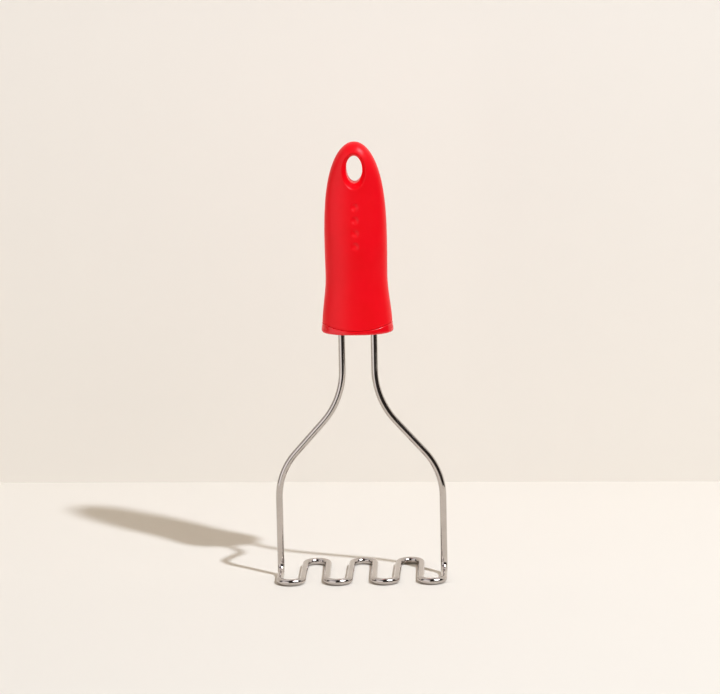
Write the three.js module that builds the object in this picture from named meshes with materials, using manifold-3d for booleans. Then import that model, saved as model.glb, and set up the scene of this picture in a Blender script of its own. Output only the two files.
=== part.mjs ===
// Wire potato masher with a soft grip. Millimetres, +Z up, standing on its foot.
// The origin is on the table, under the middle of the foot. +X is to the masher's right, -Y is its front.
//
// One bent wire makes the zig-zag foot, both legs and a hook on each end inside the handle. A hard core in
// two halves closes round the hooked ends and is held by three screws. The lower screw also goes through
// the tongue of the collar, so the collar can't slide down the legs. The silicone grip covers the core.

import * as THREE from 'three';
import { mergeVertices } from 'three/addons/utils/BufferGeometryUtils.js';
import Module from 'manifold-3d';

const wasm = await Module();
wasm.setup();

// Clearance between separate pieces.
const GAP = 0.3;
const MERGE = 1e-4; // points closer than this are one point
const PAST = 1; // how far a cutting shape runs past the face that it starts from

// Wire and foot.
const WIRE_R = 2.0;
const WIRE_SIDES = 12;
const BEND_TURN = THREE.MathUtils.degToRad(15); // most that one step of a bend turns
const BEND_STEP = 5; // and the longest such step
const RUN_PITCH = 13.8; // from one run of the foot to the next, at mid depth
const LOOPS = 7;
const FOOT_HALF_DEPTH = 24; // to the wire's centre line at the end of a loop
const RUN_LEAN = THREE.MathUtils.degToRad(0.65); // each run leans a little along the foot
const HEEL_R = 6; // bend from leg to foot

// Legs.
const SHOULDER_Z = 47.5; // where the straight lower leg ends
const SHOULDER_R = 40;
const SPLAY = THREE.MathUtils.degToRad(41.7); // slope of the diagonal from the vertical
const NECK_R = 47;
const NECK_X = 9.45;
const HOOK_Z = 200; // centre line of the hooked wire ends
const HOOK_R = 4;
const HOOK_END = 2.2; // straight end after the hook's bend

// Handle outline: half sizes at heights above the base.
const BASE_Z = 147;
const HANDLE_L = 112;
const FLARE = { h: 3, x: 20.5, y: 13.0 };
const WAIST = { h: 33, x: 18.0, y: 12.0 };
const BELLY = { h: 49.5, x: 18.2, y: 12.3 };
const TIP = { h: 92, x: 18.2, y: 8.8 }; // what the belly thins to before the nose rounds it off
const NOSE_POWER = { x: 2.9, y: 12 }; // how full the nose is: 2 would be an ellipse
const SECTION_POWER = 2.25; // how full the oval section is: 2 would be an ellipse
const HANDLE_SIDES = 40;
const BODY_RINGS = { first: 4, step: 5 }; // heights of the rings below the belly
const NOSE_RINGS = { turn: 8, last: 88, power: 0.8 }; // in degrees round the nose, eased by power
const TIP_FLAT = 0.02; // height left off the tip, where the outline is too steep for a ring

const GRIP_WALL = 3.0;
const PARTING_R = 58; // arched seam between grip and collar, a cylinder along Y
const PARTING_H = 2.5; // the seam's lowest point above the base
const PARTING_SIDES = 112;
const PARTING_L = 60; // the cylinder's length, past the handle's front and back

// The collar stands proud of the grip at its foot and meets it at the seam's ends. The tongue goes up between
// the halves of the core. Heights above the base.
const COLLAR = { proud: 0.65, corner: 1.5, cornerSteps: 3, seam: 6.3, top: 9.3 };
const TONGUE = { halfX: 5.5, halfY: 3.5, bottom: 1, top: 17 };

// Hang hole: a straight throat with a countersink on each side.
const HOLE_Z = 243.4;
const HOLE_X = 4.7;
const HOLE_TALL = 3.4; // how much more its half height is than its half width
const THROAT_HALF_L = 4.45;
const BEVEL = { wide: 2.65, deep: 4.35 };
const HOLE_WALL = 2.2; // silicone left round the throat
const HOLE_SIDES = 32;
const HOLE_PAST = 4; // how far the countersinks go on past the handle's faces

// Self-tapping screws, along Y, heads to the front. The upper one is set deeper, where the handle is thinner.
const SCREWS = {
  lower: { y: 0, z: 158 },
  middle: { y: 0, z: 188 },
  upper: { y: 1, z: 220 },
};
const SCREW = { headR: 2.8, headH: 2.2, shankR: 1.15, threadR: 1.45, seat: -5, tip: 4.5, pitch: 1.5 };
const HEAD_CROWN = { r: 0.7, h: 0.45 }; // the head's flat top and domed edge, as parts of headR and headH
const THREAD = { crest: 0.3, root: 0.6 }; // where a thread peaks and ends, as parts of the pitch
const SCREW_SIDES = 12;
const SCREW_ROOM_SIDES = 20;
const DRIVE = { wide: 0.9, long: 3.4, deep: 1.3 };

// Hollows of the core, between its screws, as heights and half widths.
const CORE_POCKETS = [
  { from: 166, to: 182, halfX: 5 },
  { from: 206, to: 216, halfX: 11 },
];
const POCKET_HALF_Y = 5;
const CORE_BOX = { halfX: 30, y: 30, past: 5 }; // what holds one half of the core, larger than the core

const X = new THREE.Vector3(1, 0, 0);
const Y = new THREE.Vector3(0, 1, 0);
const Z = new THREE.Vector3(0, 0, 1);

const MATERIALS = {
  steel: new THREE.MeshStandardMaterial({ color: 0xb9b6b2, roughness: 0.18, metalness: 1 }),
  screwSteel: new THREE.MeshStandardMaterial({ color: 0x9a9a98, roughness: 0.4, metalness: 1 }),
  silicone: new THREE.MeshStandardMaterial({ color: 0xe2121f, roughness: 0.55, metalness: 0 }),
  redPlastic: new THREE.MeshStandardMaterial({ color: 0xd8141f, roughness: 0.3, metalness: 0 }),
  nylon: new THREE.MeshStandardMaterial({ color: 0x2b2b2d, roughness: 0.6, metalness: 0 }),
};

// A closed three.js geometry as a solid that can be joined and cut, and back again.
function solid(geometry) {
  const bare = geometry.clone();
  bare.deleteAttribute('normal');
  bare.deleteAttribute('uv');
  const merged = mergeVertices(bare, MERGE);
  const vertProperties = Float32Array.from(merged.attributes.position.array);
  const triVerts = Uint32Array.from(withoutSlivers(merged.index.array));
  return new wasm.Manifold(new wasm.Mesh({ numProp: 3, vertProperties, triVerts }));
}

// Triangles that merging has folded flat, as at the poles of a lathed shape, are left out.
function withoutSlivers(index) {
  const kept = [];
  for (let i = 0; i < index.length; i += 3) {
    const [a, b, c] = [index[i], index[i + 1], index[i + 2]];
    if (a !== b && b !== c && c !== a) kept.push(a, b, c);
  }
  return kept;
}

function geometryOf(body) {
  const { vertProperties, triVerts } = body.getMesh();
  const geometry = new THREE.BufferGeometry();
  geometry.setAttribute('position', new THREE.BufferAttribute(Float32Array.from(vertProperties), 3));
  geometry.setIndex(new THREE.BufferAttribute(Uint32Array.from(triVerts), 1));
  const faceted = geometry.toNonIndexed();
  faceted.computeVertexNormals();
  return faceted;
}

function box(low, high) {
  const size = new THREE.Vector3().subVectors(high, low);
  const middle = new THREE.Vector3().addVectors(low, high).multiplyScalar(0.5);
  return solid(new THREE.BoxGeometry(size.x, size.y, size.z).translate(middle.x, middle.y, middle.z));
}

// The wire's centre line, bent as on a bench: straight stretches and bends, each bend about a fixed axis.
// It keeps a ring of the sweep where a bend needs one, and turns the section with the bends only.
class BentWire extends THREE.Curve {
  constructor(start, heading, side) {
    super();
    this.rings = [];
    this.at = start.clone();
    this.heading = heading.clone();
    this.side = side.clone();
    this.addRing();
  }

  addRing() {
    const across = new THREE.Vector3().crossVectors(this.heading, this.side);
    this.rings.push({ at: this.at.clone(), heading: this.heading.clone(), side: this.side.clone(), across });
  }

  go(length) {
    this.at.addScaledVector(this.heading, length);
    this.addRing();
  }

  bend(angle, radius, axis) {
    const steps = Math.ceil(Math.max(Math.abs(angle) / BEND_TURN, (Math.abs(angle) * radius) / BEND_STEP));
    const toCentre = new THREE.Vector3().crossVectors(axis, this.heading).multiplyScalar(Math.sign(angle));
    const centre = this.at.clone().addScaledVector(toCentre, radius);
    const turn = new THREE.Quaternion().setFromAxisAngle(axis, angle / steps);
    for (let i = 0; i < steps; i++) {
      this.at.sub(centre).applyQuaternion(turn).add(centre);
      this.heading.applyQuaternion(turn);
      this.side.applyQuaternion(turn);
      this.addRing();
    }
  }

  ringAt(u) {
    return this.rings[Math.round(u * (this.rings.length - 1))];
  }

  getPoint(u, target = new THREE.Vector3()) {
    return target.copy(this.ringAt(u).at);
  }

  getPointAt(u, target) {
    return this.getPoint(u, target);
  }

  computeFrenetFrames() {
    return {
      tangents: this.rings.map((ring) => ring.heading),
      normals: this.rings.map((ring) => ring.side),
      binormals: this.rings.map((ring) => ring.across),
    };
  }
}

// Radius of the foot's loops, from the pitch of its leaning runs.
function loopRadius() {
  const lean = Math.tan(RUN_LEAN);
  return (RUN_PITCH / 2 - FOOT_HALF_DEPTH * lean) / (Math.cos(RUN_LEAN) - lean * (1 - Math.sin(RUN_LEAN)));
}

// The moves from a hooked end down to the start of the foot's first loop.
function legMoves(endLength) {
  const loopR = loopRadius();
  const legX = ((LOOPS - 1) / 2) * RUN_PITCH + loopR;
  const diagonalTop = NECK_X + NECK_R * (1 - Math.cos(SPLAY));
  const diagonalFoot = legX - SHOULDER_R * (1 - Math.cos(SPLAY));
  const diagonal = (diagonalFoot - diagonalTop) / Math.sin(SPLAY);
  const neckZ = SHOULDER_Z + (SHOULDER_R + NECK_R) * Math.sin(SPLAY) + diagonal * Math.cos(SPLAY);
  return [
    { go: endLength },
    { bend: -Math.PI / 2, radius: HOOK_R, axis: Y },
    { go: HOOK_Z - HOOK_R - neckZ },
    { bend: SPLAY, radius: NECK_R, axis: Y },
    { go: diagonal },
    { bend: -SPLAY, radius: SHOULDER_R, axis: Y },
    { go: SHOULDER_Z - WIRE_R - HEEL_R },
    { bend: -Math.PI / 2, radius: HEEL_R, axis: X },
    { go: FOOT_HALF_DEPTH - loopR - HEEL_R },
  ];
}

function footMoves() {
  const loopR = loopRadius();
  const run = (2 * (FOOT_HALF_DEPTH - loopR + loopR * Math.sin(RUN_LEAN))) / Math.cos(RUN_LEAN);
  const moves = [];
  for (let i = 0; i < LOOPS; i++) {
    const outer = i === 0 || i === LOOPS - 1;
    const angle = Math.PI - (outer ? 1 : 2) * RUN_LEAN;
    if (i > 0) moves.push({ go: run });
    moves.push({ bend: i % 2 ? -angle : angle, radius: loopR, axis: Z });
  }
  return moves;
}

// The wire as a sweep. The right leg repeats the left leg's moves backwards, as its mirror image.
function wireGeometry(radius, endLength) {
  const down = legMoves(endLength);
  const up = [...down].reverse().map((move) => (move.axis === X ? { ...move, bend: -move.bend } : move));
  const start = new THREE.Vector3(-NECK_X + HOOK_R + endLength, 0, HOOK_Z);
  const wire = new BentWire(start, X.clone().negate(), Z.clone().negate());
  for (const move of [...down, ...footMoves(), ...up]) {
    if (move.go) wire.go(move.go);
    else wire.bend(move.bend, move.radius, move.axis);
  }
  const corner = radius / Math.cos(Math.PI / WIRE_SIDES);
  const section = Array.from({ length: WIRE_SIDES }, (_, i) => {
    const angle = ((i + 0.5) * 2 * Math.PI) / WIRE_SIDES;
    return new THREE.Vector2(corner * Math.cos(angle), corner * Math.sin(angle));
  });
  const steps = wire.rings.length - 1;
  return new THREE.ExtrudeGeometry(new THREE.Shape(section), { steps, extrudePath: wire });
}

// Half size of the handle at height h above its base, along axis 'x' or 'y', inset from the outer surface.
function handleHalf(axis, h, inset) {
  if (h > BELLY.h) {
    const along = Math.min(1, (h - BELLY.h) / (HANDLE_L - inset - BELLY.h));
    const thinning = THREE.MathUtils.smoothstep(h, BELLY.h, TIP.h);
    const thinned = THREE.MathUtils.lerp(BELLY[axis], TIP[axis], thinning);
    return (thinned - inset) * Math.sqrt(1 - along ** NOSE_POWER[axis]);
  }
  const rise = THREE.MathUtils.smoothstep(h, WAIST.h, BELLY.h);
  const fall = THREE.MathUtils.smoothstep(h, FLARE.h, WAIST.h);
  const below = THREE.MathUtils.lerp(FLARE[axis], WAIST[axis], fall);
  return THREE.MathUtils.lerp(below, BELLY[axis], rise) - inset;
}

// A closed shape of stacked oval rings, lathed round and then pressed to each ring's two half sizes.
function ovalStack(rings) {
  const first = rings[0];
  const last = rings[rings.length - 1];
  const closed = [{ ...first, x: 0, y: 0 }, ...rings, { ...last, x: 0, y: 0 }];
  const profile = closed.map((ring) => new THREE.Vector2(ring.x, ring.z));
  const geometry = new THREE.LatheGeometry(profile, HANDLE_SIDES);
  const points = geometry.attributes.position;
  const press = (value) => Math.sign(value) * Math.abs(value) ** (2 / SECTION_POWER);
  for (let i = 0; i < points.count; i++) {
    const ring = closed[i % closed.length];
    const angle = (Math.floor(i / closed.length) * 2 * Math.PI) / HANDLE_SIDES;
    points.setXYZ(i, ring.x * press(Math.sin(angle)), -ring.y * press(Math.cos(angle)), ring.z);
  }
  return solid(geometry);
}

// The handle's outer shape, or a smaller one inside it, from height `from` up to the nose.
function handleBody(inset, from) {
  const heights = [from];
  for (let h = BODY_RINGS.first; h < BELLY.h; h += BODY_RINGS.step) heights.push(h);
  const noseL = HANDLE_L - inset - BELLY.h;
  for (let angle = 0; angle < NOSE_RINGS.last; angle += NOSE_RINGS.turn) {
    heights.push(BELLY.h + noseL * Math.sin(THREE.MathUtils.degToRad(angle)) ** NOSE_RINGS.power);
  }
  heights.push(HANDLE_L - inset - TIP_FLAT);
  return ovalStack(
    heights.map((h) => ({ z: BASE_Z + h, x: handleHalf('x', h, inset), y: handleHalf('y', h, inset) })),
  );
}

// The side of the arched seam that the grip is on, grown by `grow`.
function aboveSeam(grow) {
  const radius = PARTING_R + grow;
  const cylinder = new THREE.CylinderGeometry(radius, radius, PARTING_L, PARTING_SIDES);
  return solid(cylinder.translate(0, 0, BASE_Z + PARTING_H + PARTING_R));
}

// An oval plug along Y at the hang hole: `profile` lists half widths at depths.
function holePlug(profile) {
  const points = profile.map(([halfWidth, depth]) => new THREE.Vector2(halfWidth, depth));
  const geometry = new THREE.LatheGeometry(points, HOLE_SIDES);
  const position = geometry.attributes.position;
  for (let i = 0; i < position.count; i++) {
    const angle = (Math.floor(i / points.length) * 2 * Math.PI) / HOLE_SIDES;
    const [halfWidth, depth] = profile[i % points.length];
    const halfHeight = halfWidth === 0 ? 0 : halfWidth + HOLE_TALL;
    position.setXYZ(i, halfWidth * Math.sin(angle), depth, HOLE_Z + halfHeight * Math.cos(angle));
  }
  return solid(geometry);
}

// The hang hole itself, countersunk from both sides and running past the handle.
function hangHole() {
  const slope = BEVEL.wide / BEVEL.deep;
  const outside = THROAT_HALF_L + BEVEL.deep + HOLE_PAST;
  const mouth = HOLE_X + BEVEL.wide + HOLE_PAST * slope;
  return holePlug([
    [0, -outside],
    [mouth, -outside],
    [HOLE_X, -THROAT_HALF_L],
    [HOLE_X, THROAT_HALF_L],
    [mouth, outside],
    [0, outside],
  ]);
}

// The silicone column round the hole, or the room that the core leaves for it.
function holeColumn(clearance) {
  const half = HOLE_X + HOLE_WALL + clearance;
  return holePlug([
    [0, -BELLY.y],
    [half, -BELLY.y],
    [half, BELLY.y],
    [0, BELLY.y],
  ]);
}

function screwGeometry() {
  const { headR, headH, shankR, threadR, seat, tip, pitch } = SCREW;
  const head = seat - headH;
  const profile = [
    [0, head],
    [headR * HEAD_CROWN.r, head],
    [headR, head + headH * HEAD_CROWN.h],
    [headR, seat],
    [shankR, seat],
  ];
  for (let y = seat + pitch; y < tip - 2 * pitch; y += pitch) {
    profile.push([shankR, y], [threadR, y + pitch * THREAD.crest], [shankR, y + pitch * THREAD.root]);
  }
  profile.push([shankR, tip - pitch], [0, tip]);
  return new THREE.LatheGeometry(profile.map(([r, y]) => new THREE.Vector2(r, y)), SCREW_SIDES);
}

function screwAt({ y, z }) {
  const top = SCREW.seat - SCREW.headH;
  const slot = (halfX, halfZ) =>
    box(new THREE.Vector3(-halfX, top - PAST, -halfZ), new THREE.Vector3(halfX, top + DRIVE.deep, halfZ));
  return solid(screwGeometry())
    .subtract(slot(DRIVE.long / 2, DRIVE.wide / 2))
    .subtract(slot(DRIVE.wide / 2, DRIVE.long / 2))
    .translate([0, y, z]);
}

// The room for a screw: a counterbore from the front, then a clearance hole to past the tip.
function screwRoom({ y, z }) {
  const head = SCREW.headR + GAP;
  const shank = SCREW.threadR + GAP;
  const profile = [
    [0, -BELLY.y],
    [head, -BELLY.y],
    [head, SCREW.seat + GAP],
    [shank, SCREW.seat + GAP],
    [shank, SCREW.tip + GAP],
    [0, SCREW.tip + GAP],
  ];
  const points = profile.map(([r, y]) => new THREE.Vector2(r, y));
  return solid(new THREE.LatheGeometry(points, SCREW_ROOM_SIDES).translate(0, y, z));
}

function siliconeGrip() {
  const inside = handleBody(GRIP_WALL, -PAST).subtract(holeColumn(0));
  return handleBody(0, -PAST).intersect(aboveSeam(0)).subtract(inside).subtract(hangHole());
}

function tongue(grow) {
  return box(
    new THREE.Vector3(-TONGUE.halfX - grow, -TONGUE.halfY - grow, BASE_Z + TONGUE.bottom),
    new THREE.Vector3(TONGUE.halfX + grow, TONGUE.halfY + grow, BASE_Z + TONGUE.top + grow),
  );
}

function baseCollar(wireRoom) {
  const { proud, corner, cornerSteps, seam, top } = COLLAR;
  const rings = [];
  for (let step = 0; step <= cornerSteps; step++) {
    const turn = ((step / cornerSteps) * Math.PI) / 2;
    rings.push({ h: corner * (1 - Math.cos(turn)), in: corner * (1 - Math.sin(turn)) });
  }
  for (const h of [seam, top]) rings.push({ h, in: 0 });
  const body = ovalStack(
    rings.map((ring) => {
      const out = proud * Math.max(0, 1 - ring.h / seam) - ring.in;
      return {
        z: BASE_Z + ring.h,
        x: handleHalf('x', ring.h, 0) + out,
        y: handleHalf('y', ring.h, 0) + out,
      };
    }),
  );
  return body.subtract(aboveSeam(GAP)).add(tongue(0)).subtract(screwRoom(SCREWS.lower)).subtract(wireRoom);
}

// The whole core before it is split at Y = 0.
function core(wireRoom) {
  let body = handleBody(GRIP_WALL + GAP, -PAST).intersect(aboveSeam(0));
  const cuts = [holeColumn(GAP), tongue(GAP), wireRoom, ...Object.values(SCREWS).map(screwRoom)];
  for (const { from, to, halfX } of CORE_POCKETS) {
    const low = new THREE.Vector3(-halfX, -POCKET_HALF_Y, from);
    cuts.push(box(low, new THREE.Vector3(halfX, POCKET_HALF_Y, to)));
  }
  for (const cut of cuts) body = body.subtract(cut);
  return body;
}

// Half of the core: side -1 is the front, +1 the rear.
function coreHalf(whole, side) {
  const near = (side * GAP) / 2;
  const far = side * CORE_BOX.y;
  const low = new THREE.Vector3(-CORE_BOX.halfX, Math.min(near, far), BASE_Z - CORE_BOX.past);
  const high = new THREE.Vector3(CORE_BOX.halfX, Math.max(near, far), BASE_Z + HANDLE_L + CORE_BOX.past);
  return whole.intersect(box(low, high));
}

const masher = new THREE.Group();

function addPiece(name, geometry, material) {
  const mesh = new THREE.Mesh(geometry, material);
  mesh.name = name;
  masher.add(mesh);
}

const wireRoom = solid(wireGeometry(WIRE_R + GAP, HOOK_END + GAP));
const wholeCore = core(wireRoom);

addPiece('wire_frame', wireGeometry(WIRE_R, HOOK_END), MATERIALS.steel);
addPiece('core_front', geometryOf(coreHalf(wholeCore, -1)), MATERIALS.nylon);
addPiece('core_rear', geometryOf(coreHalf(wholeCore, 1)), MATERIALS.nylon);
addPiece('base_collar', geometryOf(baseCollar(wireRoom)), MATERIALS.redPlastic);
addPiece('silicone_grip', geometryOf(siliconeGrip()), MATERIALS.silicone);
for (const [place, spot] of Object.entries(SCREWS)) {
  addPiece(`core_screw_${place}`, geometryOf(screwAt(spot)), MATERIALS.screwSteel);
}

export default masher;
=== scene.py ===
"""Wire potato masher with a silicone grip: its detailed pieces, materials, studio and camera."""

import math

import bmesh
import bpy
import numpy as np
from mathutils import Matrix, Quaternion, Vector


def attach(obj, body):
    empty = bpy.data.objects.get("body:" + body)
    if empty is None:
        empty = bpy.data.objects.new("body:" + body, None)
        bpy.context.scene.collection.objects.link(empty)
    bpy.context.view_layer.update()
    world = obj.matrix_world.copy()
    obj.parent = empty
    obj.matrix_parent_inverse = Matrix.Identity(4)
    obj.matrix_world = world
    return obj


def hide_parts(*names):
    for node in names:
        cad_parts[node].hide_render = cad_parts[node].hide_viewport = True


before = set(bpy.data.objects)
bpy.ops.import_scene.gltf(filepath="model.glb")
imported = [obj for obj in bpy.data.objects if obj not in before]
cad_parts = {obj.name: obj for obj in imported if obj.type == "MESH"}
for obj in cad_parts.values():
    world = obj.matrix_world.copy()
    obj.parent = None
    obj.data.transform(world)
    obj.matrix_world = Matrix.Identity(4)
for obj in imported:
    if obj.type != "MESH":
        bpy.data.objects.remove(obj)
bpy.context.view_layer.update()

MM = 0.001
SHARP = math.radians(28)  # an edge that turns more than this is shaded sharp

# The handle's shape, as in the CAD model. Millimetres, heights above the handle's base.
BASE_Z = 147.0
HANDLE_L = 112.0
FLARE = {"h": 3.0, "x": 20.5, "y": 13.0}
WAIST = {"h": 33.0, "x": 18.0, "y": 12.0}
BELLY = {"h": 49.5, "x": 18.2, "y": 12.3}
TIP = {"h": 92.0, "x": 18.2, "y": 8.8}
NOSE_POWER = {"x": 2.9, "y": 12.0}
SECTION_POWER = 2.25
GRIP_WALL = 3.0
PARTING_R = 58.0
PARTING_H = 2.5
SEAM_GAP = 0.15
HOLE_Z = 243.4
HOLE_X = 4.7
HOLE_TALL = 3.4
THROAT_HALF_L = 4.45
BEVEL = {"deep": 4.35, "wide": 2.65}
BEVEL_SLOPE = BEVEL["deep"] / BEVEL["wide"]
COLUMN_WALL = 2.2
COLUMN_X = HOLE_X + COLUMN_WALL
SEAM_STEPS = 30  # rounds of solving for the seam's height
MOUTH_STEPS = 40  # rounds of halving in the search for the hole's mouth
LIP_ROWS = 6  # rows over each rounded lip of the seam
TINY = 1e-6


# ---------------------------------------------------------------- mesh helpers


def piece(name, points, faces, material, stands_for):
    """A smooth-shaded closed mesh, given in millimetres, that rides on the part and replaces its CAD node."""
    mesh = bpy.data.meshes.new(name)
    mesh.from_pydata((np.asarray(points) * MM).tolist(), [], [list(f) for f in faces])
    bm = bmesh.new()
    bm.from_mesh(mesh)
    bmesh.ops.recalc_face_normals(bm, faces=bm.faces)
    bm.to_mesh(mesh)
    bm.free()
    mesh.polygons.foreach_set("use_smooth", [True] * len(mesh.polygons))
    obj = bpy.data.objects.new(name, mesh)
    bpy.context.scene.collection.objects.link(obj)
    mesh.materials.append(material)
    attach(obj, "root")
    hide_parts(stands_for)
    return obj


def smoothstep(value, low, high):
    """0 below low, 1 above high, and a smooth rise between."""
    t = np.clip((value - low) / (high - low), 0, 1)
    return t * t * (3 - 2 * t)


def mix(a, b, t):
    return a + (b - a) * t


def quads(row_a, row_b):
    """Faces between two closed rows of vertex numbers."""
    count = len(row_a)
    return [(row_a[i], row_a[(i + 1) % count], row_b[(i + 1) % count], row_b[i]) for i in range(count)]


def band(row_a, row_b):
    """Faces between two closed rows, either of which may be a single point."""
    if len(row_a) == 1:
        return [(row_a[0], row_b[i], row_b[(i + 1) % len(row_b)]) for i in range(len(row_b))]
    if len(row_b) == 1:
        return [(row_a[i], row_b[0], row_a[(i + 1) % len(row_a)]) for i in range(len(row_a))]
    return quads(row_a, row_b)


# ---------------------------------------------------------------- handle shape


def half_size(axis, h, inset=0.0):
    """Half the handle's width ("x") or thickness ("y") at heights h."""
    h = np.asarray(h, float)
    along = np.clip((h - BELLY["h"]) / (HANDLE_L - inset - BELLY["h"]), 0, 1)
    thinned = mix(BELLY[axis], TIP[axis], smoothstep(h, BELLY["h"], TIP["h"]))
    nose = (thinned - inset) * np.sqrt(1 - along ** NOSE_POWER[axis])
    below = mix(FLARE[axis], WAIST[axis], smoothstep(h, FLARE["h"], WAIST["h"]))
    body = mix(below, BELLY[axis], smoothstep(h, WAIST["h"], BELLY["h"])) - inset
    return np.where(h > BELLY["h"], nose, body)


def depth_at(x, z, inset=0.0):
    """How far the handle's face stands from its mid plane at a point seen from the front."""
    h = np.asarray(z) - BASE_Z
    hx = np.maximum(half_size("x", h, inset), TINY)
    inside = np.clip(1 - np.abs(x / hx) ** SECTION_POWER, 0, 1)
    return half_size("y", h, inset) * inside ** (1 / SECTION_POWER)


def oval_ring(theta, half_x, half_y):
    """Points of an oval of these half sizes at polar angles theta, 0 at the front."""
    reach = np.abs(np.sin(theta) / half_x) ** SECTION_POWER + np.abs(np.cos(theta) / half_y) ** SECTION_POWER
    r = reach ** (-1 / SECTION_POWER)
    return r * np.sin(theta), -r * np.cos(theta)


def section(theta, h, inset=0.0):
    """Points of the handle's section at polar angles theta and heights h."""
    return oval_ring(theta, half_size("x", h, inset), half_size("y", h, inset))


def seam_height(x, grow=0.0):
    radius = PARTING_R + grow
    return PARTING_H + PARTING_R - np.sqrt(radius**2 - np.asarray(x) ** 2)


def seam_on(ring_at, theta, inset, grow=0.0):
    """Height where the arched seam meets the surface whose rings ring_at gives, at each angle."""
    h = np.full_like(theta, PARTING_H)
    for _ in range(SEAM_STEPS):
        x, _y = ring_at(theta, h, inset)
        h = seam_height(x, grow)
    return h


def lip_at(t, start, corner, end):
    """A point of the rounded lip, a part t of the way from start to end. A sharp lip would reach corner."""
    return (1 - t) ** 2 * start + 2 * t * (1 - t) * corner + t * t * end


# ---------------------------------------------------------------- silicone grip

GRIP_SIDES = 240
NOSE_STEPS = 110
NOSE_EASE = 1.15  # above 1, it makes the nose's first steps smaller
SIDE_POWER = 4  # the face's rows bunch up at its rim, and a higher power keeps that to the handle's sides
OUTER_ROWS = {"rings": 124, "face": 26}
INNER_ROWS = {"rings": 16, "face": 8}
HOLE_ROWS = {"column": 4, "throat": 5, "fillet": 5, "bevel": 5, "rim": 10}
GRIP_LIP = 0.35
BLOCK_Z = 226.0  # the handle is gridded in rings below this height, and round the hang hole above it
DIMPLES = {"z": (199.5, 207.0, 214.5, 222.0), "r": 2.6, "deep": 0.75, "power": 1.5}
EDGE_SOFT = 1.0
EDGE_MARGIN = 0.12
MOUTH_REACH = 5  # the mouth is looked for this far out from the hole's edge
THROAT_FILLET = 1.2


def dimple_depth(x, z):
    """How far the dimples sink the front face at a point."""
    sunk = np.zeros_like(np.asarray(x, float) + np.asarray(z, float))
    for centre in DIMPLES["z"]:
        r = np.hypot(x, z - centre) / DIMPLES["r"]
        sunk = np.maximum(sunk, np.where(r < 1, (1 - np.clip(r, 0, 1) ** 2) ** DIMPLES["power"], 0))
    return sunk * DIMPLES["deep"]


def soft_min(a, b, k):
    """The smaller of a and b, with the corner between them rounded over a width k."""
    h = np.clip(k - np.abs(a - b), 0, None) / k
    return np.minimum(a, b) - h * h * k / 4


def hole_oval(width, phi):
    """Points (x, z) of the hang hole's outline at angles phi, 0 at the top, for half widths `width`."""
    return width * np.sin(phi), HOLE_Z + (width + HOLE_TALL) * np.cos(phi)


def hole_rows(phi, inset):
    """Rows of (x, z, depth) along the hole's wall, from the handle's mid plane to just past the mouth."""
    if inset:
        # On the grip's inner side, the hole's wall is a plain column.
        x, z = hole_oval(COLUMN_X, phi)
        top = depth_at(x, z, inset)
        return [(x, z, top * t) for t in np.linspace(0, 1, HOLE_ROWS["column"] + 1)]
    low, high = np.full_like(phi, HOLE_X), np.full_like(phi, HOLE_X + MOUTH_REACH)
    for _ in range(MOUTH_STEPS):
        middle = (low + high) / 2
        x, z = hole_oval(middle, phi)
        outside = THROAT_HALF_L + (middle - HOLE_X) * BEVEL_SLOPE > depth_at(x, z)
        low, high = np.where(outside, low, middle), np.where(outside, middle, high)
    mouth = (low + high) / 2
    turn = math.atan(1 / BEVEL_SLOPE)
    tangent = THROAT_FILLET * math.tan(turn / 2)
    # The straight throat, a fillet, the bevel, and last the rounded edge where the bevel meets the face.
    rows = []
    for depth in np.linspace(0, THROAT_HALF_L - tangent, HOLE_ROWS["throat"] + 1):
        rows.append((*hole_oval(np.full_like(phi, HOLE_X), phi), np.full_like(phi, depth)))
    for angle in np.linspace(0, turn, HOLE_ROWS["fillet"] + 1)[1:]:
        width = HOLE_X + THROAT_FILLET * (1 - math.cos(angle))
        depth = THROAT_HALF_L - tangent + THROAT_FILLET * math.sin(angle)
        rows.append((*hole_oval(np.full_like(phi, width), phi), np.full_like(phi, depth)))
    start = HOLE_X + tangent * math.sin(turn)
    soft = EDGE_SOFT / BEVEL_SLOPE + EDGE_MARGIN
    widths = [mix(start, mouth - soft, t) for t in np.linspace(0, 1, HOLE_ROWS["bevel"] + 1)[1:]]
    widths += [mouth + soft * t for t in np.linspace(-1, 1, HOLE_ROWS["rim"] + 1)[1:]]
    for width in widths:
        x, z = hole_oval(width, phi)
        bevel = THROAT_HALF_L + (width - HOLE_X) * BEVEL_SLOPE
        rows.append((x, z, soft_min(bevel, depth_at(x, z), EDGE_SOFT)))
    return rows


def handle_rings(inset, bottom, count, dimpled):
    """Points, ring numbers and faces of the handle from the heights `bottom` up to BLOCK_Z."""
    theta = np.arange(GRIP_SIDES) * 2 * math.pi / GRIP_SIDES
    points, rings, faces = [], [], []
    for t in np.linspace(0, 1, count + 1):
        h = mix(bottom, BLOCK_Z - BASE_Z, t)
        x, y = section(theta, h, inset)
        if dimpled:
            y = y + np.where(y < 0, dimple_depth(x, BASE_Z + h), 0)
        rings.append(len(points) * GRIP_SIDES + np.arange(GRIP_SIDES))
        points.append(np.stack([x, y, np.broadcast_to(BASE_Z + h, x.shape)], 1))
        if len(rings) > 1:
            faces += quads(rings[-2], rings[-1])
    return list(np.concatenate(points)), rings, faces


def nose_outline(inset):
    """Points of the handle's outline above BLOCK_Z, from the right side over the top to the left."""
    block_h, tip_h = BLOCK_Z - BASE_Z, HANDLE_L - inset
    rise = np.sin(np.linspace(0, math.pi / 2, NOSE_STEPS + 1)[1:])
    up = block_h + (tip_h - block_h) * rise**NOSE_EASE
    side = half_size("x", up, inset)
    side[-1] = 0
    across = np.concatenate([side, -side[-2::-1]])
    return [np.array([x, 0.0, BASE_Z + h]) for x, h in zip(across, np.concatenate([up, up[-2::-1]]))]


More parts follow.
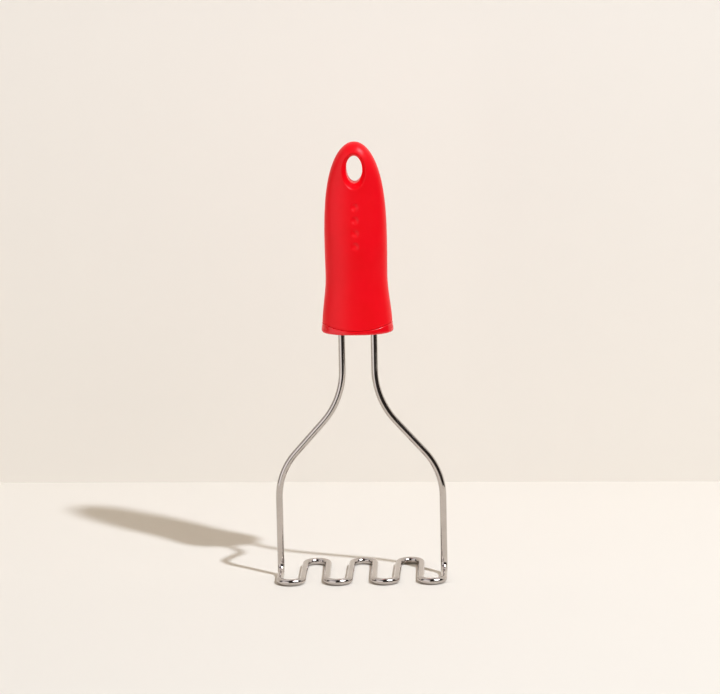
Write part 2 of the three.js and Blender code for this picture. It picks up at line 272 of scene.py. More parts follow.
def face_rows(rim, block_points, inset, count):
    """Rows of (x, z, depth) along the hole's wall, and then over the face to the last one inside the rim.

    The first block_points of the rim lie along BLOCK_Z, and the rest go over the nose."""
    rows = hole_rows(np.arctan2(rim[:, 0], rim[:, 2] - HOLE_Z), inset)
    last_x, last_z, _depth = rows[-1]
    edge_like = np.ones(len(rim))
    edge_like[:block_points] = np.abs(rim[:block_points, 0] / rim[0, 0]) ** SIDE_POWER
    for t in np.linspace(0, 1, count + 1)[1:-1]:
        eased = mix(t, 1 - (1 - t) ** 2, edge_like)
        x, z = mix(last_x, rim[:, 0], eased), mix(last_z, rim[:, 2], eased)
        rows.append((x, z, depth_at(x, z, inset)))
    return rows


def handle_skin(inset, bottom, row_counts, dimpled):
    """The handle's surface at an inset, with the hang hole through it.

    Rings run from the heights `bottom` up to BLOCK_Z; above that, rays run from the hole to the outline."""
    points, rings, faces = handle_rings(inset, bottom, row_counts["rings"], dimpled)
    quarter = GRIP_SIDES // 4
    front = [(k - quarter) % GRIP_SIDES for k in range(2 * quarter + 1)]
    rear = [(2 * quarter - k) % GRIP_SIDES for k in front]
    nose_points = nose_outline(inset)
    nose = [len(points) + k for k in range(len(nose_points))]
    points += nose_points
    outlines = [[int(rings[-1][k]) for k in half] + nose for half in (front, rear)]
    rim = np.array([points[k] for k in outlines[0]])
    rows = face_rows(rim, len(front), inset, row_counts["face"])
    # The front and the rear share the row in the mid plane.
    middle = None
    for outline, sign in zip(outlines, (-1.0, 1.0)):
        previous = None
        for x, z, depth in rows:
            if previous is None and middle is not None:
                previous = middle
                continue
            row = [len(points) + k for k in range(len(x))]
            points += list(np.stack([x, sign * depth, z], 1))
            if previous is None:
                middle = row
            else:
                faces += quads(previous, row)
            previous = row
        faces += quads(previous, outline)
    return np.array(points), faces, rings[0]


def grip_mesh():
    """The outer skin, the inner one, and the rounded lip and underside that join them at the seam."""
    theta = np.arange(GRIP_SIDES) * 2 * math.pi / GRIP_SIDES
    seam_out = seam_on(section, theta, 0.0)
    seam_in = seam_on(section, theta, GRIP_WALL)
    outer, faces, outer_ring = handle_skin(0.0, seam_out + GRIP_LIP, OUTER_ROWS, True)
    inner, inner_faces, inner_ring = handle_skin(GRIP_WALL, seam_in, INNER_ROWS, False)
    shift = len(outer)
    points = list(outer) + list(inner)
    faces += [tuple(k + shift for k in f) for f in inner_faces]
    x_out, y_out = section(theta, seam_out, 0.0)
    x_in, y_in = section(theta, seam_in, GRIP_WALL)
    start = np.array([outer[k] for k in outer_ring])
    corner = np.stack([x_out, y_out, BASE_Z + seam_out], 1)
    reach = GRIP_LIP / np.hypot(x_out - x_in, y_out - y_in)
    turn_x, turn_y = mix(x_out, x_in, reach), mix(y_out, y_in, reach)
    turned = np.stack([turn_x, turn_y, BASE_Z + seam_height(turn_x)], 1)
    previous = outer_ring
    for t in np.linspace(0, 1, LIP_ROWS + 1)[1:]:
        numbers = len(points) + np.arange(GRIP_SIDES)
        points += list(lip_at(t, start, corner, turned))
        faces += quads(previous, numbers)
        previous = numbers
    faces += quads(previous, inner_ring + shift)
    return points, [tuple(int(k) for k in f) for f in faces]


def grip_piece(material):
    points, faces = grip_mesh()
    piece("grip_soft", points, faces, material, "silicone_grip")


# ---------------------------------------------------------------- base collar

COLLAR_SIDES = 200
COLLAR = {"proud": 0.65, "proud_to": 6.3, "corner": 1.5, "lip": 0.5, "least_wall": 0.05}
COLLAR_ROWS = {"corner": 8, "wall": 8}
UNDERSIDE_RINGS = (0.25, 0.5, 0.75, 0.9)  # parts of the way out to the corner
TOP_RINGS = (0.9, 0.75, 0.6, 0.45, 0.3, 0.15)  # parts of the way out to the lip
TONGUE = {"x": 5.5, "y": 3.5, "bottom": 1.0, "top": 17.0, "corner": 0.5, "corner_steps": 4}
NECK_X = 9.45
WIRE_R = 2.0
CLEARANCE = 0.3
WIRE_HOLE = {"below": -2.0, "flare": 2.4, "flare_top": 0.4, "top": 20.0}
SCREW_ROOM = {"z": 158.0, "front": -14.0, "head_r": 3.1, "seat": -4.7, "shank_r": 1.75, "end": 4.8}
TOOL_SIDES = 64
WELD = 0.002


def collar_ring(theta, h, inward):
    """Points of the collar's section: the handle's own, made proud by an amount that fades with height."""
    out = COLLAR["proud"] * np.clip(1 - h / COLLAR["proud_to"], 0, None) - inward
    return oval_ring(theta, half_size("x", h) + out, half_size("y", h) + out)


def collar_mesh():
    """The collar before its holes: underside, rounded corner, wall, lip and arched top, row by row."""
    theta = np.arange(COLLAR_SIDES) * 2 * math.pi / COLLAR_SIDES
    lip, corner = COLLAR["lip"], COLLAR["corner"]
    top = seam_on(collar_ring, theta, 0.0, SEAM_GAP)
    rows = []
    low_x, low_y = collar_ring(theta, np.zeros_like(theta), corner)
    for t in UNDERSIDE_RINGS:
        rows.append((low_x * t, low_y * t, np.zeros_like(theta)))
    for angle in np.linspace(0, math.pi / 2, COLLAR_ROWS["corner"] + 1):
        h = np.full_like(theta, corner * (1 - math.cos(angle)))
        h = np.minimum(h, top - lip)
        rows.append((*collar_ring(theta, h, corner * (1 - math.sin(angle))), h))
    turn_h = rows[-1][2]
    for t in np.linspace(0, 1, COLLAR_ROWS["wall"] + 1)[1:]:
        h = mix(turn_h, np.maximum(top - lip, turn_h + COLLAR["least_wall"]), t)
        rows.append((*collar_ring(theta, h, 0.0), h))
    start = [np.asarray(v, float) for v in rows[-1]]
    edge = [*collar_ring(theta, top, 0.0), top]
    scale = 1 - lip / np.hypot(edge[0], edge[1])
    inner = [edge[0] * scale, edge[1] * scale, seam_height(edge[0] * scale, SEAM_GAP)]
    for t in np.linspace(0, 1, LIP_ROWS + 1)[1:]:
        rows.append(tuple(lip_at(t, *ends) for ends in zip(start, edge, inner)))
    for t in TOP_RINGS:
        x, y = inner[0] * t, inner[1] * t
        rows.append((x, y, seam_height(x, SEAM_GAP)))
    points, faces, previous = [(0.0, 0.0, BASE_Z)], [], None
    for x, y, h in rows:
        numbers = len(points) + np.arange(COLLAR_SIDES)
        points += list(np.stack([x, y, BASE_Z + h], 1))
        if previous is None:
            faces += [(0, numbers[(i + 1) % COLLAR_SIDES], numbers[i]) for i in range(COLLAR_SIDES)]
        else:
            faces += quads(previous, numbers)
        previous = numbers
    points.append((0.0, 0.0, BASE_Z + float(seam_height(0.0, SEAM_GAP))))
    last = len(points) - 1
    faces += [(previous[i], previous[(i + 1) % COLLAR_SIDES], last) for i in range(COLLAR_SIDES)]
    return points, [tuple(int(k) for k in f) for f in faces]


def turned_tool(name, profile, axis, centre):
    """A lathed closed shape for cutting: profile lists (radius, place along the axis)."""
    points, faces, previous = [], [], None
    for radius, along in profile:
        if radius == 0:
            numbers = [len(points)]
            points.append((0.0, 0.0, along))
        else:
            numbers = [len(points) + i for i in range(TOOL_SIDES)]
            for i in range(TOOL_SIDES):
                angle = i * 2 * math.pi / TOOL_SIDES
                points.append((radius * math.cos(angle), radius * math.sin(angle), along))
        if previous is not None:
            faces += band(previous, numbers)
        previous = numbers
    mesh = bpy.data.meshes.new(name)
    mesh.from_pydata(points, [], faces)
    turn = Vector((0, 0, 1)).rotation_difference(Vector(axis)).to_matrix().to_4x4()
    mesh.transform(Matrix.Scale(MM, 4) @ Matrix.Translation(centre) @ turn)
    bm = bmesh.new()
    bm.from_mesh(mesh)
    bmesh.ops.recalc_face_normals(bm, faces=bm.faces)
    bm.to_mesh(mesh)
    bm.free()
    return bpy.data.objects.new(name, mesh)


def rounded_box(name, low, high, radius, steps):
    """A block for joining on, with its edges rounded."""
    bm = bmesh.new()
    bmesh.ops.create_cube(bm, size=1.0)
    size = [b - a for a, b in zip(low, high)]
    middle = [(a + b) / 2 for a, b in zip(low, high)]
    bmesh.ops.scale(bm, vec=size, verts=bm.verts)
    bmesh.ops.translate(bm, vec=middle, verts=bm.verts)
    bmesh.ops.bevel(bm, geom=bm.edges, offset=radius, segments=steps, affect="EDGES", profile=0.5)
    mesh = bpy.data.meshes.new(name)
    bm.to_mesh(mesh)
    bm.free()
    mesh.transform(Matrix.Scale(MM, 4))
    return bpy.data.objects.new(name, mesh)


def carve(obj, tools):
    """Joins ('UNION') or cuts ('DIFFERENCE') each tool, then removes the tools."""
    for operation, tool in tools:
        bpy.context.scene.collection.objects.link(tool)
        modifier = obj.modifiers.new(tool.name, "BOOLEAN")
        modifier.object = tool
        modifier.operation = operation
        modifier.solver = "EXACT"
    bpy.context.view_layer.update()
    depsgraph = bpy.context.evaluated_depsgraph_get()
    carved = bpy.data.meshes.new_from_object(obj.evaluated_get(depsgraph))
    obj.modifiers.clear()
    old = obj.data
    name = old.name
    obj.data = carved
    bpy.data.meshes.remove(old)
    carved.name = name
    for _operation, tool in tools:
        data = tool.data
        bpy.data.objects.remove(tool)
        bpy.data.meshes.remove(data)
    bm = bmesh.new()
    bm.from_mesh(carved)
    bmesh.ops.remove_doubles(bm, verts=bm.verts, dist=WELD * MM)
    bm.to_mesh(carved)
    bm.free()
    carved.polygons.foreach_set("use_smooth", [True] * len(carved.polygons))
    carved.set_sharp_from_angle(angle=SHARP)


def wire_hole(name, x):
    """The tool that cuts a leg's hole up into the collar, with a flared mouth."""
    r = WIRE_R + CLEARANCE
    profile = [
        (0, WIRE_HOLE["below"]),
        (r + WIRE_HOLE["flare"], WIRE_HOLE["below"]),
        (r, WIRE_HOLE["flare_top"]),
        (r, WIRE_HOLE["top"]),
        (0, WIRE_HOLE["top"]),
    ]
    return turned_tool(name, profile, (0, 0, 1), (x, 0, BASE_Z))


def screw_hole(name):
    """The tool that cuts the lower screw's hole through the tongue, wider where the head sits."""
    profile = [
        (0, SCREW_ROOM["front"]),
        (SCREW_ROOM["head_r"], SCREW_ROOM["front"]),
        (SCREW_ROOM["head_r"], SCREW_ROOM["seat"]),
        (SCREW_ROOM["shank_r"], SCREW_ROOM["seat"]),
        (SCREW_ROOM["shank_r"], SCREW_ROOM["end"]),
        (0, SCREW_ROOM["end"]),
    ]
    return turned_tool(name, profile, (0, 1, 0), (0, 0, SCREW_ROOM["z"]))


def collar_piece(material):
    points, faces = collar_mesh()
    collar = piece("collar_gloss", points, faces, material, "base_collar")
    low = (-TONGUE["x"], -TONGUE["y"], BASE_Z + TONGUE["bottom"])
    high = (TONGUE["x"], TONGUE["y"], BASE_Z + TONGUE["top"])
    tools = [
        ("UNION", rounded_box("tongue", low, high, TONGUE["corner"], TONGUE["corner_steps"])),
        ("DIFFERENCE", wire_hole("left_hole", -NECK_X)),
        ("DIFFERENCE", wire_hole("right_hole", NECK_X)),
        ("DIFFERENCE", screw_hole("screw_hole")),
    ]
    carve(collar, tools)


# ---------------------------------------------------------------- wire

WIRE_SIDES = 32
BEND_TURN = math.radians(3)
STRAIGHT_STEP = 4
END_CHAMFER = 0.5
RUN_PITCH = 13.8
LOOPS = 7
FOOT_HALF_DEPTH = 24.0
RUN_LEAN = math.radians(0.65)
HEEL_R = 6.0
SHOULDER_Z = 47.5
SHOULDER_R = 40.0
SPLAY = math.radians(41.7)
NECK_R = 47.0
HOOK_Z = 200.0
HOOK_R = 4.0
HOOK_END = 2.2
AXIS_X, AXIS_Y, AXIS_Z = Vector((1, 0, 0)), Vector((0, 1, 0)), Vector((0, 0, 1))


def wire_moves():
    """The wire's straight runs and bends in order, from the end in the left half of the handle.

    A run is ("go", length), and a bend is ("bend", angle, radius, axis)."""
    lean = math.tan(RUN_LEAN)
    loop_r = (RUN_PITCH / 2 - FOOT_HALF_DEPTH * lean) / (
        math.cos(RUN_LEAN) - lean * (1 - math.sin(RUN_LEAN))
    )
    leg_x = (LOOPS - 1) / 2 * RUN_PITCH + loop_r
    top = NECK_X + NECK_R * (1 - math.cos(SPLAY))
    foot = leg_x - SHOULDER_R * (1 - math.cos(SPLAY))
    diagonal = (foot - top) / math.sin(SPLAY)
    neck_z = SHOULDER_Z + (SHOULDER_R + NECK_R) * math.sin(SPLAY) + diagonal * math.cos(SPLAY)
    down = [
        ("go", HOOK_END),
        ("bend", -math.pi / 2, HOOK_R, AXIS_Y),
        ("go", HOOK_Z - HOOK_R - neck_z),
        ("bend", SPLAY, NECK_R, AXIS_Y),
        ("go", diagonal),
        ("bend", -SPLAY, SHOULDER_R, AXIS_Y),
        ("go", SHOULDER_Z - WIRE_R - HEEL_R),
        ("bend", -math.pi / 2, HEEL_R, AXIS_X),
        ("go", FOOT_HALF_DEPTH - loop_r - HEEL_R),
    ]
    run = 2 * (FOOT_HALF_DEPTH - loop_r + loop_r * math.sin(RUN_LEAN)) / math.cos(RUN_LEAN)
    foot_moves = []
    for i in range(LOOPS):
        angle = math.pi - (1 if i in (0, LOOPS - 1) else 2) * RUN_LEAN
        if i:
            foot_moves.append(("go", run))
        foot_moves.append(("bend", -angle if i % 2 else angle, loop_r, AXIS_Z))
    # The right leg is the left one mirrored and walked backwards. Bends about Y stay, and those about X turn
    # the other way.
    up = [
        ("bend", -m[1], m[2], m[3]) if m[0] == "bend" and m[3] is AXIS_X else m for m in reversed(down)
    ]
    return down + foot_moves + up


def wire_rings():
    """Centre, heading, side and length so far, at each ring of the sweep."""
    at = Vector((-NECK_X + HOOK_R + HOOK_END, 0, HOOK_Z))
    heading, side, travelled = Vector((-1, 0, 0)), Vector((0, 0, -1)), 0.0
    rings = [(at.copy(), heading.copy(), side.copy(), travelled)]
    for move in wire_moves():
        if move[0] == "go":
            steps = max(1, round(move[1] / STRAIGHT_STEP))
            for _ in range(steps):
                at = at + heading * (move[1] / steps)
                travelled += move[1] / steps
                rings.append((at.copy(), heading.copy(), side.copy(), travelled))
            continue
        _kind, angle, radius, axis = move
        steps = math.ceil(abs(angle) / BEND_TURN)
        centre = at + axis.cross(heading) * math.copysign(radius, angle)
        turn = Quaternion(axis, angle / steps)
        for _ in range(steps):
            at = centre + turn @ (at - centre)
            heading, side = turn @ heading, turn @ side
            travelled += abs(angle) * radius / steps
            rings.append((at.copy(), heading.copy(), side.copy(), travelled))
    return rings


def wire_piece(material):
    rings = wire_rings()
    # Each end is turned off with a small chamfer.
    first, last = rings[0], rings[-1]
    stations = [
        (first[0], first, 0.0),
        (first[0], first, WIRE_R - END_CHAMFER),
        (first[0] + first[1] * END_CHAMFER, first, WIRE_R),
        *((ring[0], ring, WIRE_R) for ring in rings[1:-1]),
        (last[0] - last[1] * END_CHAMFER, last, WIRE_R),
        (last[0], last, WIRE_R - END_CHAMFER),
        (last[0], last, 0.0),
    ]
    points, faces, lengths, previous = [], [], [], None
    for at, (_at, heading, side, travelled), radius in stations:
        across = heading.cross(side)
        sides = WIRE_SIDES if radius else 1
        numbers = [len(points) + i for i in range(sides)]
        for i in range(sides):
            angle = (i + 0.5) * 2 * math.pi / WIRE_SIDES
            beside = side * (radius * math.cos(angle))
            points.append(tuple(at + beside + across * (radius * math.sin(angle))))
            lengths.append(travelled)
        if previous is not None:
            faces += band(previous, numbers)
        previous = numbers
    obj = piece("wire_bent", points, faces, material, "wire_frame")
    map_along_wire(obj.data, lengths)
    obj.data.set_sharp_from_angle(angle=SHARP)


def map_along_wire(mesh, lengths):
    """How far along the wire each point is, and where round it, so that drawing marks follow every bend."""
    along = mesh.uv_layers.new(name="along_wire")
    count = len(lengths)
    for polygon in mesh.polygons:
        around = [((k - 1) % WIRE_SIDES) / WIRE_SIDES if 0 < k < count - 1 else 0.0 for k in polygon.vertices]
        wraps = max(around) - min(around) > 0.5
        for loop, k, turn in zip(polygon.loop_indices, polygon.vertices, around):
            if wraps and turn < 0.5:
                turn += 1
            along.data[loop].uv = (lengths[k] * MM, turn)


# ---------------------------------------------------------------- materials


class Nodes:
    """A material's node tree, with short ways to add and join nodes."""

    def __init__(self, name):
        self.material = bpy.data.materials.new(name)
        self.material.use_nodes = True
        self.tree = self.material.node_tree
        self.tree.nodes.clear()
        self.shader = self.add("ShaderNodeBsdfPrincipled")
        output = self.add("ShaderNodeOutputMaterial")
        self.join(self.shader.outputs[0], output.inputs["Surface"])

    def add(self, kind, **values):
        node = self.tree.nodes.new(kind)
        for key, value in values.items():
            setattr(node, key, value)
        return node

    def join(self, source, target):
        self.tree.links.new(source, target)

    def place(self, scale=(1, 1, 1), uv_map=None):
        """Object coordinates, or those of a UV map, stretched by scale."""
        if uv_map:
            source = self.add("ShaderNodeUVMap", uv_map=uv_map).outputs["UV"]
        else:
            source = self.add("ShaderNodeTexCoord").outputs["Object"]
        mapping = self.add("ShaderNodeMapping")
        mapping.inputs["Scale"].default_value = scale
        self.join(source, mapping.inputs["Vector"])
        return mapping.outputs["Vector"]

    def noise(self, vector, scale, detail=2.0, roughness=0.5):
        node = self.add("ShaderNodeTexNoise")
        node.inputs["Scale"].default_value = scale
        node.inputs["Detail"].default_value = detail
        node.inputs["Roughness"].default_value = roughness
        self.join(vector, node.inputs["Vector"])
        return node.outputs["Fac"]

    def spread(self, source, low, high, from_low=0.3, from_high=0.7):
        """A value from low to high. Noise stays mostly between 0.3 and 0.7, so that range is stretched."""
        node = self.add("ShaderNodeMapRange")
        for key, value in zip(("From Min", "From Max", "To Min", "To Max"), (from_low, from_high, low, high)):
            node.inputs[key].default_value = value
        self.join(source, node.inputs["Value"])
        return node.outputs["Result"]

    def colour(self, source, low, high, from_low=0.3, from_high=0.7):
        """A colour from low to high, in the same way."""
        ramp = self.add("ShaderNodeValToRGB")
        first, second = ramp.color_ramp.elements
        first.position, second.position = from_low, from_high
        first.color, second.color = (*low, 1), (*high, 1)
        self.join(source, ramp.inputs["Fac"])
        return ramp.outputs["Color"]

    def bump(self, source, distance, strength, over=None):
        """A bumped normal, on top of the normal `over` if one is given."""
        node = self.add("ShaderNodeBump")
        node.inputs["Distance"].default_value = distance
        node.inputs["Strength"].default_value = strength
        self.join(source, node.inputs["Height"])
        if over is not None:
            self.join(over, node.inputs["Normal"])
        return node.outputs["Normal"]

    def set(self, **values):
        """Sets the shader's own inputs, with _ for the spaces in their names."""
        for key, value in values.items():
            self.shader.inputs[key.replace("_", " ")].default_value = value

    def link(self, socket, source):
        self.join(source, self.shader.inputs[socket])


def silicone_material():
    """Satin: slightly mottled, with a fine grain over a slow ripple."""
    m = Nodes("red_silicone")
    place = m.place()
    mottle = m.noise(place, scale=70, detail=3.0, roughness=0.6)
    shine = m.noise(place, scale=240)
    grain = m.bump(m.noise(place, scale=5200), distance=0.00002, strength=0.35)
    ripple = m.noise(place, scale=120)
    m.link("Base Color", m.colour(mottle, low=(0.93, 0.0, 0.006), high=(0.97, 0.0, 0.009)))
    m.link("Roughness", m.spread(shine, low=0.38, high=0.43))
    m.link("Normal", m.bump(ripple, distance=0.0002, strength=0.25, over=grain))
    m.set(Metallic=0.0, IOR=1.41, Specular_IOR_Level=0.35)
    return m.material


def collar_material():
    """Moulded plastic, glossier than the silicone."""
    m = Nodes("red_gloss_plastic")
    place = m.place()
    mottle = m.noise(place, scale=90, detail=3.0)
    shine = m.noise(place, scale=300)
    grain = m.noise(place, scale=900)
    m.link("Base Color", m.colour(mottle, low=(0.87, 0.002, 0.010), high=(0.89, 0.003, 0.012)))
    m.link("Roughness", m.spread(shine, low=0.19, high=0.22))
    m.link("Normal", m.bump(grain, distance=0.00002, strength=0.25))
    m.set(Metallic=0.0, IOR=1.5)
    return m.material


def steel_material():
    """Polished stainless wire, with faint marks along it from drawing."""
    m = Nodes("polished_steel_wire")
    tone = m.noise(m.place(), scale=160, detail=3.0, roughness=0.6)
    shine = m.noise(m.place((40, 60, 1), uv_map="along_wire"), scale=1.0, detail=4.0, roughness=0.6)
    drawn = m.noise(m.place((600, 90, 1), uv_map="along_wire"), scale=1.0)
    m.link("Base Color", m.colour(tone, low=(0.50, 0.46, 0.43), high=(0.56, 0.51, 0.48)))
    m.link("Roughness", m.spread(shine, low=0.06, high=0.12))
    m.link("Normal", m.bump(drawn, distance=0.00001, strength=0.15))
    m.set(Metallic=1.0)
    return m.material


def nylon_material():
    """Matt black nylon, speckled by its glass fibres."""
    m = Nodes("glass_filled_nylon")
    place = m.place()
    speckle = m.noise(place, scale=2600)
    shine = m.noise(place, scale=400, detail=3.0)
    grain = m.noise(place, scale=3000)
    m.link("Base Color", m.colour(speckle, low=(0.022, 0.022, 0.024), high=(0.05, 0.05, 0.052)))
    m.link("Roughness", m.spread(shine, low=0.5, high=0.7))
    m.link("Normal", m.bump(grain, distance=0.00004, strength=0.4))
    m.set(Metallic=0.0)
    return m.material


def screw_material():
    """Dull zinc plating."""
    m = Nodes("zinc_plated_screw")
    place = m.place()
    tone = m.noise(place, scale=500, detail=3.0)
    shine = m.noise(m.place((1, 8, 1)), scale=600)
    grain = m.noise(place, scale=2500)
    m.link("Base Color", m.colour(tone, low=(0.48, 0.48, 0.47), high=(0.62, 0.62, 0.6)))
    m.link("Roughness", m.spread(shine, low=0.28, high=0.42))
    m.link("Normal", m.bump(grain, distance=0.00001, strength=0.3))
    m.set(Metallic=1.0)
    return m.material


def paper_material(name, low, high, one_sided=False):
    """Plain paper whose colour goes from low to high with height, over the first WALL_FADE metres: painted
    shade on the wall.
    """
    m = Nodes(name)
    place = m.place()
    height = m.add("ShaderNodeSeparateXYZ")
    m.join(place, height.inputs[0])
    mottled = m.add("ShaderNodeMath", operation="MULTIPLY_ADD")
    mottled.inputs[1].default_value = PAPER_MOTTLE
    m.join(m.noise(place, scale=3.0), mottled.inputs[0])
    m.join(height.outputs["Z"], mottled.inputs[2])
    # On the wall, this rise with height is painted shade, darker near the floor and lighter higher up.
    m.link("Base Color", m.colour(mottled.outputs[0], low, high, from_low=0.0, from_high=WALL_FADE))
    m.link("Normal", m.bump(m.noise(place, scale=900, detail=3.0), distance=0.00005, strength=0.15))
    m.set(Roughness=0.9, Specular_IOR_Level=0.1)
    if one_sided:
        # The backdrop is seen from its front only, so it doesn't hide the object in views from behind.
        clear = m.add("ShaderNodeBsdfTransparent")
        choose = m.add("ShaderNodeMixShader")
        m.join(m.add("ShaderNodeNewGeometry").outputs["Backfacing"], choose.inputs["Fac"])
        m.join(m.shader.outputs[0], choose.inputs[1])
        m.join(clear.outputs[0], choose.inputs[2])
        output = next(n for n in m.tree.nodes if n.type == "OUTPUT_MATERIAL")
        m.join(choose.outputs[0], output.inputs["Surface"])
    return m.material


# ---------------------------------------------------------------- the object

steel = steel_material()
silicone = silicone_material()
gloss_red = collar_material()
nylon = nylon_material()
zinc = screw_material()

wire_piece(steel)
grip_piece(silicone)
collar_piece(gloss_red)
for node_name, material in (
    ("core_front", nylon),
    ("core_rear", nylon),
    ("core_screw_lower", zinc),
    ("core_screw_middle", zinc),
    ("core_screw_upper", zinc),
):
    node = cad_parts[node_name]
    node.data.materials.clear()
    node.data.materials.append(material)

# ---------------------------------------------------------------- stage


def stage_plane(name, corners, material):
    mesh = bpy.data.meshes.new(name)
    mesh.from_pydata(corners, [], [(0, 1, 2, 3)])
    mesh.materials.append(material)
    obj = bpy.data.objects.new(name, mesh)
    bpy.context.scene.collection.objects.link(obj)
    return obj


# The stage is in metres, like the lamp and the camera below.
FLOOR_LOW, FLOOR_HIGH = (0.838, 0.778, 0.698), (0.86, 0.80, 0.72)
# The wall's colour rising from its low to its high value with height is painted shade, darker near the floor.
WALL_SHADED_LOW, WALL_HIGH = (0.80, 0.75, 0.68), (0.90, 0.84, 0.762)
WALL_FADE = 0.30
PAPER_MOTTLE = 0.03
YAW = math.radians(-2.3)
WALL_MID = Vector((-0.0094, 0.2246, 0))
WALL_ALONG = Vector((math.cos(YAW), math.sin(YAW), 0))
WALL_REACH = 2.2
WALL_FOOT, WALL_TOP = -0.001, 1.6
TABLE_LEFT, TABLE_RIGHT = 1.8, 0.55  # how far the lit table runs along the wall, each way
FLOOR_Z = -0.00005
TABLE_FRONT = -0.29
BEYOND_REACH, BEYOND_Z = 2.4, -0.0003

floor_paper = paper_material("floor_paper", FLOOR_LOW, FLOOR_HIGH)
wall_left, wall_right = WALL_MID - WALL_ALONG * WALL_REACH, WALL_MID + WALL_ALONG * WALL_REACH
table_left = WALL_MID - WALL_ALONG * TABLE_LEFT
table_right = WALL_MID + WALL_ALONG * TABLE_RIGHT
stage_plane(
    "stage_floor",
    [
        (table_left.x, TABLE_FRONT, FLOOR_Z),
        (table_right.x, TABLE_FRONT, FLOOR_Z),
        (table_right.x, table_right.y, FLOOR_Z),
        (table_left.x, table_left.y, FLOOR_Z),
    ],
    floor_paper,
)
# The floor past the table is there for the other views: it is seen, but plays no part in the light.
beyond = stage_plane(
    "stage_floor_beyond",
    [
        (-BEYOND_REACH, -BEYOND_REACH, BEYOND_Z),
        (BEYOND_REACH, -BEYOND_REACH, BEYOND_Z),
        (BEYOND_REACH, BEYOND_REACH, BEYOND_Z),
        (-BEYOND_REACH, BEYOND_REACH, BEYOND_Z),
    ],
    floor_paper,
)
beyond.visible_diffuse = beyond.visible_glossy = beyond.visible_shadow = False
stage_plane(
    "stage_wall",
    [
        (wall_left.x, wall_left.y, WALL_FOOT),
        (wall_right.x, wall_right.y, WALL_FOOT),
        (wall_right.x, wall_right.y, WALL_TOP),
        (wall_left.x, wall_left.y, WALL_TOP),
    ],
    paper_material("wall_paper", WALL_SHADED_LOW, WALL_HIGH, one_sided=True),
)

# ---------------------------------------------------------------- light

KEY_AT = (0.544, -0.504, 1.041)
KEY_RADIUS = 0.028
KEY_COLOUR = (0.8, 0.88, 1)
KEY_STRENGTH = 33.8


def key_light():
    """A small lamp to the right and in front, set to light the whole table evenly."""
    data = bpy.data.lights.new("key", "POINT")
    data.energy, data.color, data.shadow_soft_size = KEY_STRENGTH, KEY_COLOUR, KEY_RADIUS
    data.use_nodes = True
    tree = data.node_tree
    falloff = tree.nodes.new("ShaderNodeLightFalloff")
    falloff.inputs["Strength"].default_value = 1.0
    emission = next(n for n in tree.nodes if n.type == "EMISSION")
    tree.links.new(falloff.outputs["Constant"], emission.inputs["Strength"])
    obj = bpy.data.objects.new("key", data)
    obj.location = KEY_AT
    bpy.context.scene.collection.objects.link(obj)


key_light()

# The world's lights. Each fades in as the cosine of the angle from its direction goes from the first
# number of its fade to the second.
UP, REARWARD = (0, 0, 1), (0, 1, 0)
ROOM = (0.04, 0.033, 0.03)
REAR, REAR_FADE = (0.8, 0.78, 0.72), (0.15, 0.45)
REFLECTOR, REFLECTOR_TOP_FADE = (1.2, 1.17, 1.18), (0.75, 0.5)
REFLECTOR_FROM, REFLECTOR_TO = math.radians(14), math.radians(84)  # its edges, left of the camera
REFLECTOR_FROM_FADE, REFLECTOR_TO_FADE = (0.0, 0.12), (0.0, 0.3)
CEILING, CEILING_FADE = (0.16, 0.13, 0.07), (0.6, 0.95)
FRONT, FRONT_FADE = (0.3, 0.24, 0.13), (0.6, 0.95)
FRONT_TOWARD = (0.29, -0.81, 0.51)
GLOW, GLOW_FADE = (8, 8.1, 8.7), (0.925, 0.985)
GLOW_TOWARD = (0.50, -0.436, 0.748)
PANEL, PANEL_FADE = (0.9, 0.88, 0.92), (0.86, 0.95)
PANEL_TOWARD = (-0.48, 0.1, 0.87)
BACKGROUND = (0.89, 0.82, 0.735)


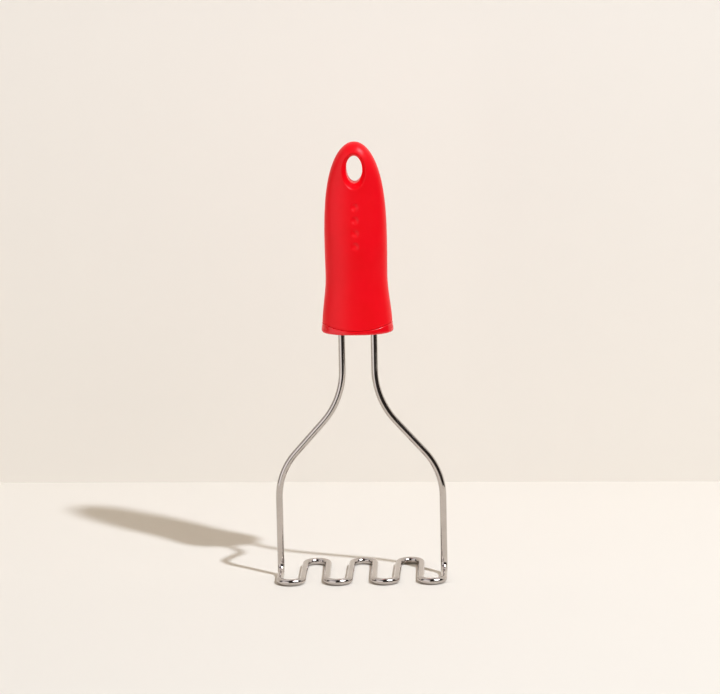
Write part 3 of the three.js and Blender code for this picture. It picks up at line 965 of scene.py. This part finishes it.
def studio_world():
    """A dark room with a large pale reflector to the left and a pale rear.

    The front and ceiling fills light matt surfaces only, and the glow near the lamp's direction and the
    overhead panel show in glossy reflections only. The camera itself sees a plain pale background."""
    world = bpy.data.worlds.new("studio")
    bpy.context.scene.world = world
    world.use_nodes = True
    tree = world.node_tree
    tree.nodes.clear()

    def add(kind):
        return tree.nodes.new(kind)

    direction = add("ShaderNodeTexCoord").outputs["Generated"]

    def ramp_along(axis, fade):
        """0 to 1 as a direction's part along axis goes from the fade's first number to its second."""
        dot = add("ShaderNodeVectorMath")
        dot.operation = "DOT_PRODUCT"
        dot.inputs[1].default_value = axis
        tree.links.new(direction, dot.inputs[0])
        ramp = add("ShaderNodeMapRange")
        ramp.interpolation_type = "SMOOTHSTEP"
        ramp.inputs["From Min"].default_value, ramp.inputs["From Max"].default_value = fade
        tree.links.new(dot.outputs["Value"], ramp.inputs["Value"])
        return ramp.outputs["Result"]

    def joined(operation, a, b):
        node = add("ShaderNodeVectorMath")
        node.operation = operation
        for value, socket in zip((a, b), node.inputs):
            if isinstance(value, tuple):
                socket.default_value = value
            else:
                tree.links.new(value, socket)
        return node.outputs["Vector"]

    def light(colour, toward, fade):
        return joined("MULTIPLY", colour, ramp_along(toward, fade))

    from_axis = (-math.cos(REFLECTOR_FROM), math.sin(REFLECTOR_FROM), 0)
    to_axis = (math.cos(REFLECTOR_TO), -math.sin(REFLECTOR_TO), 0)
    between = joined(
        "MULTIPLY", ramp_along(from_axis, REFLECTOR_FROM_FADE), ramp_along(to_axis, REFLECTOR_TO_FADE)
    )
    between = joined("MULTIPLY", between, ramp_along(UP, REFLECTOR_TOP_FADE))
    lit = joined("ADD", ROOM, light(REAR, REARWARD, REAR_FADE))
    lit = joined("ADD", lit, joined("MULTIPLY", REFLECTOR, between))

    light_path = add("ShaderNodeLightPath")
    glossy = light_path.outputs["Is Glossy Ray"]
    matt = add("ShaderNodeMath")
    matt.operation = "SUBTRACT"
    matt.inputs[0].default_value = 1.0
    tree.links.new(glossy, matt.inputs[1])
    fill = joined("ADD", light(FRONT, FRONT_TOWARD, FRONT_FADE), light(CEILING, UP, CEILING_FADE))
    lit = joined("ADD", lit, joined("MULTIPLY", fill, matt.outputs[0]))
    shine = joined("ADD", light(GLOW, GLOW_TOWARD, GLOW_FADE), light(PANEL, PANEL_TOWARD, PANEL_FADE))
    lit = joined("ADD", lit, joined("MULTIPLY", shine, glossy))

    seen = add("ShaderNodeBackground")
    seen.inputs["Color"].default_value = (*BACKGROUND, 1)
    studio = add("ShaderNodeBackground")
    tree.links.new(lit, studio.inputs["Color"])
    choose = add("ShaderNodeMixShader")
    tree.links.new(light_path.outputs["Is Camera Ray"], choose.inputs["Fac"])
    tree.links.new(studio.outputs[0], choose.inputs[1])
    tree.links.new(seen.outputs[0], choose.inputs[2])
    tree.links.new(choose.outputs[0], add("ShaderNodeOutputWorld").inputs["Surface"])


studio_world()

# ---------------------------------------------------------------- camera

SENSOR, LENS = 36.0, 234.9
NEAR, FAR = 0.1, 50.0
CAMERA_AT, CAMERA_TARGET = Vector((0.1056, -2.6763, 0.7263)), Vector((0.00118, 0.0, 0.1374))
CAMERA_ROLL = math.radians(-1.214)


def photo_camera():
    data = bpy.data.cameras.new("camera")
    data.sensor_width, data.lens = SENSOR, LENS
    data.clip_start, data.clip_end = NEAR, FAR
    obj = bpy.data.objects.new("camera", data)
    bpy.context.scene.collection.objects.link(obj)
    away = (CAMERA_TARGET - CAMERA_AT).normalized()
    right = away.cross(AXIS_Z).normalized()
    up = right.cross(away)
    turned_right = right * math.cos(CAMERA_ROLL) + up * math.sin(CAMERA_ROLL)
    turned_up = up * math.cos(CAMERA_ROLL) - right * math.sin(CAMERA_ROLL)
    axes = Matrix((turned_right, turned_up, -away)).transposed().to_4x4()
    obj.matrix_world = Matrix.Translation(CAMERA_AT) @ axes
    bpy.context.scene.camera = obj


photo_camera()
bpy.context.scene.view_settings.view_transform = "Standard"
